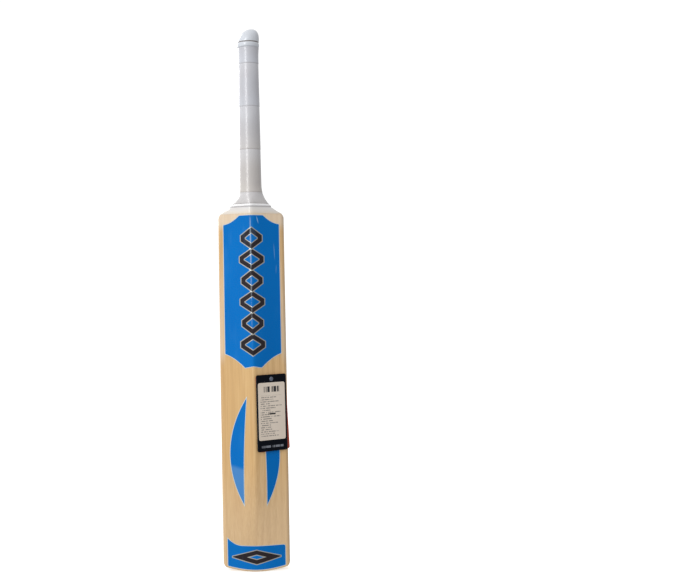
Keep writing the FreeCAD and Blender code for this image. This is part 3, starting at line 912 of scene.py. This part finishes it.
def toe_sticker_grid():
    """Along the toe's curve; its top runs level and sweeps up to a peak on the left."""
    half, _, peak = span("toe_sticker")[1]
    close = np.array([0, 0.15, 0.5, 1.1, 1.9, 2.9, 4.1])
    columns = np.concatenate([-half + close, np.linspace(-half + 5.5, half - 5.5, 44),
                              half - close[::-1]])

    def lower(x):
        """The toe's line moved in by the margin, and kept off the steep end of its corner."""
        shrink = toe_half / (toe_half - toe_print_margin)
        return toe_line(x * shrink * 0.994) + toe_print_margin

    def upper(x):
        """A hollow sweep down from the peak, a level run, and a round corner on the right."""
        swept = ends_of(x, (-half, peak, -toe_print_bow),
                        (-half + toe_print_sweep, toe_print_top, 0), (half, toe_print_top, 0))
        near = np.clip(x - (half - toe_print_corner), 0, toe_print_corner)
        return swept - toe_print_corner + np.sqrt(toe_print_corner ** 2 - near ** 2)

    return between(lower, upper, columns, 34)


def lozenge(x, z, at_x, at_z, wide, tall, cut):
    """Millimetres past the edge of an upright lozenge, its side corners squared off by cut."""
    across = x.math("ABSOLUTE", x - at_x)
    up = z.math("ABSOLUTE", z - at_z)
    slant = (across / wide + up / tall - 1) * (wide * tall / np.hypot(wide, tall))
    return slant.math("MAXIMUM", slant, across - wide * cut)


def print_marks(place):
    """What skin_piece or card_piece has left at each point for a print to be drawn by."""
    return xyz(place.node("Attribute", {"attribute_name": "print"}, out="Vector"))


def creases(place):
    """Where the clear wrap over the blade catches the light: long soft folds."""
    folds = grain(place, (34.0, 34.0, 9.0), 3.0, 0.6)
    fine = grain(place, (120.0, 120.0, 26.0), 3.0, 0.6)
    return step(folds, 0.56, 0.80) * 0.7 + step(fine, 0.62, 0.85) * 0.3


def vinyl_finish(name, shapes=(), wrap_glints=()):
    """Blue printed vinyl with a pale rim, painted darker towards the right as painted shade. Each
    of the shapes is a dark hollow lozenge, blue inside, with a metallic line along both its
    edges. Over it lie painted highlights where the wrap catches the light: short glints, faint
    lighter folds and a broken glint where it is stretched over the ridge; and a paler haze low
    on the left."""
    material, place = start_finish(name)
    x, z, inset = print_marks(place)
    cloud = grain(place, (22.0, 22.0, 8.0), 3.0)
    fold = creases(place)
    blue = blend(cloud, colour(0, 118, 200), colour(0, 104, 186))
    # Painted shade: darker towards the right, the side away from the light.
    blue = blend(step(x, -30.0, 40.0) * 0.30, blue, colour(0, 98, 176))
    metal = 0.0
    for at_x, at_z, wide, tall, cut in shapes:
        past = lozenge(x, z, at_x, at_z, wide, tall, cut)
        line = window(past, -7.9, 1.5, 0.4)
        dark = step(past, 0.15, -0.15) * step(past, -6.7, -6.3)
        blue = blend(line, blue, colour(178, 178, 170))
        blue = blend(dark, blue, blend(cloud, colour(30, 28, 34), colour(58, 48, 50)))
        metal = line * (1 - dark) + metal
    for at_x, at_z, wide, tall, lean, strength in wrap_glints:
        # Painted highlights: short glints where the wrap's creases catch the light.
        streak = spot(x + (z - at_z) * lean, z, at_x, at_z, wide, tall)
        blue = blend(streak * strength, blue, colour(176, 212, 236))
    # Painted highlight: faint lighter folds where the wrap catches the light.
    blue = blend(fold * (step(z, 470.0, 550.0) * 0.22 + 0.14), blue, colour(96, 166, 218))
    taut = step(x.math("ABSOLUTE", x + 1.2), 1.5, 0.3)
    broken = step(grain(place, (8.0, 8.0, 30.0)), 0.38, 0.62)
    blue = blend(taut * broken * step(z, 330.0, 520.0) * 0.45, blue, colour(206, 222, 232))
    haze = step(z + x * 0.25, 164.0, 156.0) * step(z, 60.0, 64.0) * step(x, 6.0, -6.0)
    blue = blend(haze * 0.30, blue, colour(134, 176, 210))
    blue = blend(step(inset, 0.95, 0.65), blue, colour(206, 214, 212))
    sockets = dict(Base_Color=blue, Roughness=0.30 + cloud * 0.08,
                   Normal=bump(fold * 0.5 + cloud * 0.5, 0.35, 0.5), Coat_Weight=0.06,
                   Coat_Roughness=0.1, Specular_IOR_Level=0.06)
    if shapes:
        sockets["Metallic"] = metal * 0.6
    end_finish(place, **sockets)
    return material


# Each lozenge is its x, z, half width and half height, and the share of its half width at which
# its side corners are squared off. In the column, wide and narrow ones take turns.
lozenge_start = 360.0
lozenge_pitch = 33.4
column = [(0.0, lozenge_start + lozenge_pitch * k, 25.5 - 3.0 * (k % 2), 17.0, 0.74)
          for k in range(6)]
toe_mark = [(0.0, 23.0, 40.0, 11.0, 0.95)]
# Each painted glint on the wrap is its x, z, half width, half height, lean and strength.
back_wrap_glints = [(10.0, 556.0, 1.0, 7.0, 0.25, 0.5), (36.0, 506.0, 0.8, 16.0, 0.05, 0.25),
                (38.5, 478.0, 0.7, 9.0, -0.05, 0.2)]
sticker = skin_piece("back_print", *back_sticker_grid(), back)
paint(sticker, vinyl_finish("back_print_vinyl", column, back_wrap_glints))
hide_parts("back_sticker")
leaf_finish = vinyl_finish("leaf_vinyl")
for side, hand in ((-1, "left"), (1, "right")):
    leaf = skin_piece(f"leaf_print_{hand}", *crescent_grid(side), back)
    paint(leaf, leaf_finish)
    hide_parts(f"crescent_sticker_{hand}")
toe_print = skin_piece("toe_print", *toe_sticker_grid(), back)
paint(toe_print, vinyl_finish("toe_print_vinyl", toe_mark))
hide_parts("toe_sticker")


# ---- stickers on the face ----
# A large blue panel with a dark rim and a fine light line inside it, a silver-edged strip
# label below, and a small white price label stuck over the panel's top corner.
panel_shoulder_x = 19.5
panel_scoop = 2.8
panel_shoulder_drop = 11.0
kite_middle = 458.0
strip_slant = 10.0
price_lift = 0.55
price_under = 0.33


def on_face(x, z):
    """The hitting face's place in y, on the whole grid of x and z."""
    return face(z) + 0 * x


def face_sticker_grid():
    """Straight sides and foot, with scooped top corners."""
    low, high = span("face_sticker")
    half, top = high[0], high[2]
    columns = symmetric((0.0, 14), (panel_shoulder_x, 18), (half, 0))

    def lower(x):
        """A level foot."""
        return low[2] + 0 * x

    def upper(x):
        """Level in the middle, and scooped down to each side."""
        return ends_of(np.abs(x), (0, top, 0), (panel_shoulder_x, top, -panel_scoop),
                       (half, top - panel_shoulder_drop, 0))

    return between(lower, upper, columns, 120)


def chance(cell):
    """A number from 0 to 1, drawn for each whole number that cell takes."""
    return cell.node("TexWhiteNoise", {"noise_dimensions": "1D"}, {"W": cell})


def panel_finish():
    """The panel's print: dark rim, fine light line, and one tall dark kite with a gold line."""
    material, place = start_finish("face_panel_vinyl")
    x, z, inset = print_marks(place)
    cloud = grain(place, (22.0, 22.0, 8.0), 3.0)
    fold = creases(place)
    blue = blend(cloud, colour(0, 94, 174), colour(0, 80, 158))
    taper = 1 - step(z, kite_middle, kite_middle + 80.0) * 0.25
    past = lozenge(x / taper, z, 0.0, kite_middle, 25.0, 76.0, 0.72)
    line = step(past, 2.0, 1.6)
    dark = step(past, 0.15, -0.15)
    blue = blend(line, blue, colour(196, 168, 104))
    blue = blend(dark, blue, blend(cloud, colour(12, 13, 17), colour(22, 24, 30)))
    blue = blend(step(inset, 3.2, 2.9), blue, colour(14, 62, 146))
    blue = blend(window(inset, 2.9, 4.3, 0.3), blue, colour(112, 184, 236))
    blue = blend(step(inset, 0.5, 0.25), blue, colour(176, 186, 196))
    # Painted highlight: lighter where the wrap's folds catch the light.
    blue = blend(fold * 0.14, blue, colour(110, 176, 222))
    end_finish(place, Base_Color=blue, Roughness=0.30 + cloud * 0.08,
               Normal=bump(fold * 0.5 + cloud * 0.5, 0.35, 0.5), Coat_Weight=0.06,
               Coat_Roughness=0.1, Specular_IOR_Level=0.06, Metallic=line * (1 - dark) * 0.6)
    return material


def strip_finish():
    """Royal blue, darker over its middle, with a brushed silver line along its rim."""
    material, place = start_finish("strip_label_vinyl")
    x, _, inset = print_marks(place)
    brushed = grain(place, (900.0, 900.0, 60.0), 3.0)
    blue = blend(window(x, 8.0, 32.0, 4.0), colour(2, 68, 178), colour(4, 44, 128))
    silver = blend(brushed, colour(196, 196, 208), colour(150, 152, 172))
    rim = step(inset, 1.9, 1.5)
    end_finish(place, Base_Color=blend(rim, blue, silver), Roughness=0.26 + brushed * 0.15,
               Metallic=rim * 0.7, Coat_Weight=0.1, Coat_Roughness=0.1,
               Specular_IOR_Level=0.1)
    return material


def price_finish():
    """White paper with a block of plain upright bars, a row of grey dashes and a pink one."""
    material, place = start_finish("price_label_paper")
    x, z, inset = print_marks(place)
    low, high = span("price_label")
    pulp = grain(place, (700.0, 700.0, 700.0), 3.0)
    paper = blend(pulp, colour(244, 243, 238), colour(228, 226, 220))
    cell = x.math("FLOOR", x / 0.62)
    bar = step(chance(cell), 0.5, 0.52)
    block = (window(z, high[2] - 11.0, high[2] - 3.0, 0.4)
             * window(x, low[0] + 5.0, high[0] - 5.0, 0.4))
    paper = blend(bar * block, paper, colour(40, 42, 48))
    dash = step(chance(x.math("FLOOR", x / 1.3)), 0.3, 0.35)
    for down, tint in ((13.4, colour(70, 72, 80)), (17.6, colour(196, 92, 112))):
        row = window(z, high[2] - down - 1.0, high[2] - down + 1.0, 0.2) * step(inset, 2.6, 3.0)
        paper = blend(dash * row, paper, tint)
    end_finish(place, Base_Color=paper, Roughness=0.55 + pulp * 0.1,
               Normal=bump(pulp, 0.2, 0.1), Coat_Weight=0.25, Coat_Roughness=0.15)
    return material


panel = skin_piece("face_print", *face_sticker_grid(), on_face, outward=1)
paint(panel, panel_finish())
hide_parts("face_sticker")

strip_low, strip_high = span("strip_label")
rows = np.linspace(strip_low[2], strip_high[2], 16)[:, None]
inner = strip_low[0] + strip_slant * (strip_high[2] - rows) / (strip_high[2] - strip_low[2])
strip_x = inner + (strip_high[0] - inner) * np.linspace(0, 1, 60)
strip = skin_piece("strip_print", strip_x, rows + 0 * strip_x, on_face, outward=1)
paint(strip, strip_finish())
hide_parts("strip_label")

price_low, price_high = span("price_label")
price_x, price_z = np.meshgrid(np.linspace(price_low[0], price_high[0], 40),
                               np.linspace(price_low[2], price_high[2], 26))
price = skin_piece("price_paper", price_x, price_z, on_face, outward=1, lift=price_lift,
                   under=price_under)
paint(price, price_finish())
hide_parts("price_label")


# ---- swing tag ----
# Two varnished cards hang on one plastic stud over the right flank, and each turns on it: a
# navy one in front with an off-white label pasted on, and a red one behind.
swing = {joint["name"]: joint for joint in frame["joints"]}["tag_front_swing"]
tag_pivot = np.array(swing["pos_m"]) / MM
outward = np.array(swing["axis"])
along = np.array([-outward[1], outward[0], 0.0])
upright = np.array([0.0, 0.0, 1.0])
tag_turn = 0.5
back_card_turn = 3.0
tag_length = 120.0
tag_width = 55.0
hole_from_top = 7.0
back_card_length = 118.8
back_card_width = 54.8
back_hole_from_top = 6.0
hole_radius = 2.1
card_corner = 3.0
card_thickness = 0.6
card_edge_ease = 0.12
front_card_level = 0.9
label_width = 49.0
label_height = 90.0
label_below_hole = 5.5
label_thickness = 0.2
stud_foot_radius = 5.0
stud_stem_radius = 1.8
stud_head_radius = 3.4


def laid(across, up, level, turn):
    """A flat point of the tag, swung about the stud by turn and laid on the flank at level."""
    angle = np.radians(turn)
    x = across * np.cos(angle) - up * np.sin(angle)
    z = across * np.sin(angle) + up * np.cos(angle)
    return (tag_pivot + x[..., None] * along + z[..., None] * upright
            + (level + 0 * x)[..., None] * outward)


def card_rim(width, low, high, corner):
    """Round a card's edge from its lower left: four straight sides and four quarter arcs."""
    half = width / 2
    centres = [(-half + corner, low + corner), (half - corner, low + corner),
               (half - corner, high - corner), (-half + corner, high - corner)]
    loop = []
    for k, (x, z) in enumerate(centres):
        angle = np.pi * (1 + k / 2) + np.linspace(0, np.pi / 2, 9)
        arc = np.stack([x + corner * np.cos(angle), z + corner * np.sin(angle)], -1)
        after = centres[(k + 1) % 4]
        turn = np.pi * (1 + (k + 1) / 2)
        end = np.array([after[0] + corner * np.cos(turn), after[1] + corner * np.sin(turn)])
        t = np.linspace(0, 1, 26)[1:-1, None]
        loop += [arc, arc[-1] + (end - arc[-1]) * t]
    return np.concatenate(loop)


def card_piece(name, body, width, low, high, corner, level, thickness, turn, hole):
    """A card as one closed grid: rings from its hole out to its rim on the near side, and back
    to the hole on the far side. A card with no hole shrinks to a point instead. Its print marks
    are its flat place from the stud, and 1 on the near side."""
    rim = card_rim(width, low, high, corner)
    middle = np.array([0.0, 0.0 if hole else (low + high) / 2])
    away = rim - middle
    start = middle + away / np.linalg.norm(away, axis=1, keepdims=True) * (hole or 0.05)
    t = np.array([0, 0.08, 0.2, 0.35, 0.5, 0.65, 0.8, 0.9, 0.97, 0.994, 1.0])[:, None, None]
    flat = start + (rim - start) * t
    near = laid(flat[..., 0], flat[..., 1], level + thickness, turn)
    near[-1] -= outward * card_edge_ease
    far = laid(flat[..., 0], flat[..., 1], level, turn)
    far[-1] += outward * card_edge_ease
    points = np.concatenate([near, far[::-1]])
    marks = np.concatenate([flat, flat[::-1]])
    edge = np.concatenate([0 * t + 1, 0 * t]) + 0 * marks[..., :1]
    return grid_piece(name, points[:, ::-1], body, closed=True, sharp=35.0,
                      marks=np.concatenate([marks, edge], -1)[:, ::-1])


def card_finish(name, dark, light, worn, foot_row):
    """Varnished card: a solid print with a faint tooth, paler where its long edges have rubbed,
    and a row of grey dashes along its foot where foot_row says so."""
    material, place = start_finish(name)
    x, z, near = print_marks(place)
    tooth = grain(place, (1100.0, 1100.0, 1100.0), 3.0)
    cloud = grain(place, (40.0, 40.0, 25.0), 3.0)
    card = blend(cloud, dark, light)
    side = x.math("ABSOLUTE", x)
    rub = step(side + tooth * 1.2, 27.1, 27.8)
    card = blend(rub * 0.4, card, worn)
    if foot_row:
        dash = step(chance(x.math("FLOOR", x / 1.1)), 0.2, 0.24)
        row = window(z, -107.6, -103.8, 0.4) * step(side, 21.0, 20.6)
        card = blend(dash * row * near * 0.65, card, colour(150, 154, 164))
    end_finish(place, Base_Color=card, Roughness=0.36 + tooth * 0.12,
               Normal=bump(tooth, 0.2, 0.12), Specular_IOR_Level=0.1)
    return material


def label_finish():
    """Off-white label stock: a block of plain bars near its top, then ranks of short grey
    dashes that start at the left and run out by chance, and one bolder rank half way down."""
    material, place = start_finish("tag_label_paper")
    x, z, near = print_marks(place)
    pulp = grain(place, (700.0, 700.0, 700.0), 3.0)
    cloud = grain(place, (30.0, 30.0, 16.0), 3.0)
    paper = blend(cloud, colour(234, 222, 207), colour(214, 199, 184))
    bar = step(chance(x.math("FLOOR", x / 0.8)), 0.42, 0.46)
    side = x.math("ABSOLUTE", x)
    block = window(z, -20.6, -11.4, 0.3) * step(side, 14.3, 14.0)
    paper = blend(bar * block * near, paper, colour(34, 34, 38))
    rank_pitch = 3.35
    rank = z.math("FLOOR", z / rank_pitch)
    inked = window(z.math("FRACT", z / rank_pitch), 0.22, 0.74, 0.12)
    ink = chance(x.math("FLOOR", x / 0.95) + rank * 57.3)
    end = chance(rank) * 24.0
    length = step(x, end - 3.0, end - 3.4) * step(x, -20.8, -20.4)
    ranks = step(z, -90.0, -89.8) * step(z, -25.5, -25.8)
    paper = blend(inked * step(ink, 0.24, 0.3) * length * ranks * near * 0.78, paper,
                  colour(86, 82, 82))
    bold = window(z, -56.0, -53.2, 0.3) * step(side, 7.0, 6.6)
    paper = blend(bold * step(ink, 0.1, 0.16) * near, paper, colour(36, 34, 36))
    end_finish(place, Base_Color=paper, Roughness=0.5 + pulp * 0.1,
               Normal=bump(pulp, 0.25, 0.1), Coat_Weight=0.2, Coat_Roughness=0.2)
    return material


back_card = card_piece("red_card", "tag_back", back_card_width,
                       back_hole_from_top - back_card_length, back_hole_from_top, card_corner,
                       0.0, card_thickness, back_card_turn, hole_radius)
paint(back_card, card_finish("red_card_stock", colour(170, 78, 60), colour(150, 62, 48),
                             colour(226, 150, 130), foot_row=False))
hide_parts("tag_back_card")
front_card = card_piece("navy_card", "tag_front", tag_width, hole_from_top - tag_length,
                        hole_from_top, card_corner, front_card_level, card_thickness, tag_turn,
                        hole_radius)
paint(front_card, card_finish("navy_card_stock", colour(2, 5, 14), colour(5, 10, 22),
                              colour(74, 78, 90), foot_row=True))
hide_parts("tag_front_card")
label = card_piece("card_label", "tag_front", label_width, -label_below_hole - label_height,
                   -label_below_hole, card_corner, front_card_level + card_thickness,
                   label_thickness, tag_turn, 0.0)
paint(label, label_finish())
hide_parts("tag_label")


def stud_points():
    """The stud turned about its own axis: a broad foot, a thin stem and a domed head."""
    turn = np.linspace(0, np.pi / 2, 9)
    foot, stem = stud_foot_radius, stud_stem_radius
    radii = np.concatenate([[0.3, foot - 0.4, foot, foot, foot - 0.3, stem, stem, 3.2],
                            stud_head_radius * np.cos(turn) ** 0.8 + 0.02])
    levels = np.concatenate([[-1.3, -1.3, -1.1, -0.5, -0.3, -0.3, 1.8, 1.8],
                             1.95 + 1.05 * np.sin(turn)])
    angle = np.linspace(0, 2 * np.pi, 48, endpoint=False)
    across = radii[:, None] * np.cos(angle)
    up = radii[:, None] * np.sin(angle)
    return laid(across, up, levels[:, None], 0.0)


def stud_finish():
    """Milky nylon with a soft shine."""
    material, place = start_finish("stud_nylon")
    cloud = grain(place, (400.0, 400.0, 400.0), 2.0)
    nylon = blend(cloud, colour(104, 112, 130), colour(72, 80, 98))
    end_finish(place, Base_Color=nylon, Roughness=0.25 + cloud * 0.2,
               Normal=bump(cloud, 0.2, 0.1), Coat_Weight=0.3, Coat_Roughness=0.1)
    return material


stud = grid_piece("tag_rivet", stud_points())
paint(stud, stud_finish())
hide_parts("tag_stud")


# ---- floor and light ----
# A round white cove: a level floor that curves up into a wall all round, in soft room light
# from the upper left, with one tall soft box before the bat and one behind it.
def cove_points():
    """A level disc, a quarter circle and an upright wall, turned about the bat."""
    flat, bend, top = 2600.0, 1200.0, 3600.0
    turn = np.linspace(0, np.pi / 2, 24)
    floor = np.linspace(1.0, flat, 30)[:-1]
    radii = np.concatenate([floor, flat + bend * np.sin(turn), [flat + bend]])
    heights = np.concatenate([0 * floor, bend * (1 - np.cos(turn)), [top]])
    points = turned_points(radii, heights, 128)
    return points[:, ::-1]


def cove_finish():
    """Matt white paint, with a little glow of its own, so that it stays an even white."""
    material, place = start_finish("cove_paint")
    cloud = grain(place, (1.5, 1.5, 1.5), 2.0)
    end_finish(place, Base_Color=blend(cloud, (0.76, 0.76, 0.76, 1), (0.74, 0.74, 0.74, 1)),
               Roughness=0.9, Specular_IOR_Level=0.1, Emission_Color=(1.0, 1.0, 1.0, 1.0),
               Emission_Strength=0.52)
    return material


def soft_box(name, place, size, power):
    """A rectangular light aimed at the middle of the bat."""
    light = bpy.data.lights.new(name, "AREA")
    light.shape = "RECTANGLE"
    light.size = size[0]
    light.size_y = size[1]
    light.energy = power
    box = bpy.data.objects.new(name, light)
    bpy.context.scene.collection.objects.link(box)
    box.location = place
    toward = Vector((0.0, 0.0, 0.45)) - Vector(place)
    box.rotation_euler = toward.to_track_quat("-Z", "Y").to_euler()


def sky_light():
    """Soft room light from all round: brightest from the upper left, dimmest from the right."""
    world = bpy.data.worlds.new("room")
    world.use_nodes = True
    world.node_tree.nodes.clear()
    start = Signal(world.node_tree)
    x, _, z = xyz(start.node("TexCoord", out="Generated"))
    side = step(z * 0.45 - x * 0.85, -0.9, 0.9)
    strength = side * 0.58 + 0.45
    glow = start.node("Background", (), {"Color": (1.0, 1.0, 1.0, 1.0), "Strength": strength})
    start.node("OutputWorld", (), {"Surface": glow})
    bpy.context.scene.world = world


cove = grid_piece("cove", cove_points())
paint(cove, cove_finish())
# It stands in the room and not on the bat, and throws no light or image of itself on it.
cove.parent = None
cove.visible_diffuse = False
cove.visible_glossy = False
soft_box("key_light", (-1.05, -1.75, 1.35), (0.24, 1.5), 15.0)
soft_box("back_key_light", (-1.3, 1.9, 1.4), (0.9, 1.5), 20.0)
sky_light()
bpy.context.scene.view_settings.view_transform = "Standard"
